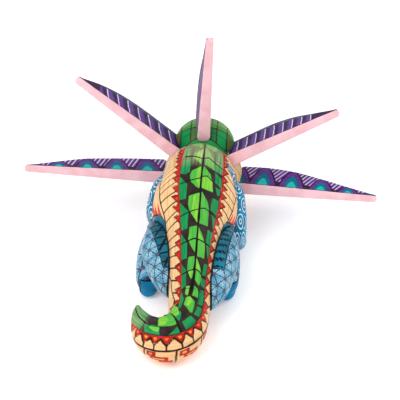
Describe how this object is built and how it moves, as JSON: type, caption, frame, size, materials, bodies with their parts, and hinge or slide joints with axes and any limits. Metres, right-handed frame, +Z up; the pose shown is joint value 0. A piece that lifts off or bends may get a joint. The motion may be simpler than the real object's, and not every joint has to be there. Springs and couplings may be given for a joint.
{
  "type": "alebrije lizard figure",
  "caption": "Carved and painted copal-wood lizard with a hooked tail, crouching legs and removable flat crest feathers fanned round the back of its head.",
  "frame": {"origin": "under the middle of the bounding box, on the surface that the feet and the tail stand on", "axes": "+X the lizard's right, across the spread feathers; +Y the way its head faces; +Z up"},
  "size_m": [0.266, 0.2314, 0.1673],
  "materials": {
    "painted_body": "satin hand-painted acrylic on carved wood, green plates, red points and cream flanks",
    "painted_legs": "satin hand-painted acrylic on carved wood, sky blue and deep blue with fine line patterns",
    "painted_feathers": "satin hand-painted acrylic on cut board, pink edges and purple faces with turquoise eyes",
    "bare_wood": "unpainted whittled dowel"
  },
  "bodies": {
    "figure": {"trunk": "painted_body", "head": "painted_body", "tail": "painted_body", "hind_leg_left": "painted_legs", "hind_leg_right": "painted_legs", "front_leg_left": "painted_legs", "front_leg_right": "painted_legs", "neck_dowel": "bare_wood", "tail_dowel": "bare_wood", "hip_dowel_left": "bare_wood", "hip_dowel_right": "bare_wood", "shoulder_dowel_left": "bare_wood", "shoulder_dowel_right": "bare_wood"},
    "centre_feather": {"crest_feather_centre": "painted_feathers", "crest_peg_centre": "bare_wood"},
    "upper_left_feather": {"crest_feather_upper_left": "painted_feathers", "crest_peg_upper_left": "bare_wood"},
    "upper_right_feather": {"crest_feather_upper_right": "painted_feathers", "crest_peg_upper_right": "bare_wood"},
    "lower_left_feather": {"crest_feather_lower_left": "painted_feathers", "crest_peg_lower_left": "bare_wood"},
    "lower_right_feather": {"crest_feather_lower_right": "painted_feathers", "crest_peg_lower_right": "bare_wood"}
  },
  "joints": [
    {"name": "centre_feather_pull", "type": "slide", "parent": "figure", "child": "centre_feather", "axis": [0.059, -0.1981, 0.9784], "range_m": [0, 0.02]},
    {"name": "upper_left_feather_pull", "type": "slide", "parent": "figure", "child": "upper_left_feather", "axis": [-0.769, 0.019, 0.639], "range_m": [0, 0.02]},
    {"name": "upper_right_feather_pull", "type": "slide", "parent": "figure", "child": "upper_right_feather", "axis": [0.85, -0.054, 0.524], "range_m": [0, 0.02]},
    {"name": "lower_left_feather_pull", "type": "slide", "parent": "figure", "child": "lower_left_feather", "axis": [-0.9839, -0.1312, 0.1211], "range_m": [0, 0.02]},
    {"name": "lower_right_feather_pull", "type": "slide", "parent": "figure", "child": "lower_right_feather", "axis": [0.9947, -0.1005, 0.0201], "range_m": [0, 0.02]}
  ]
}
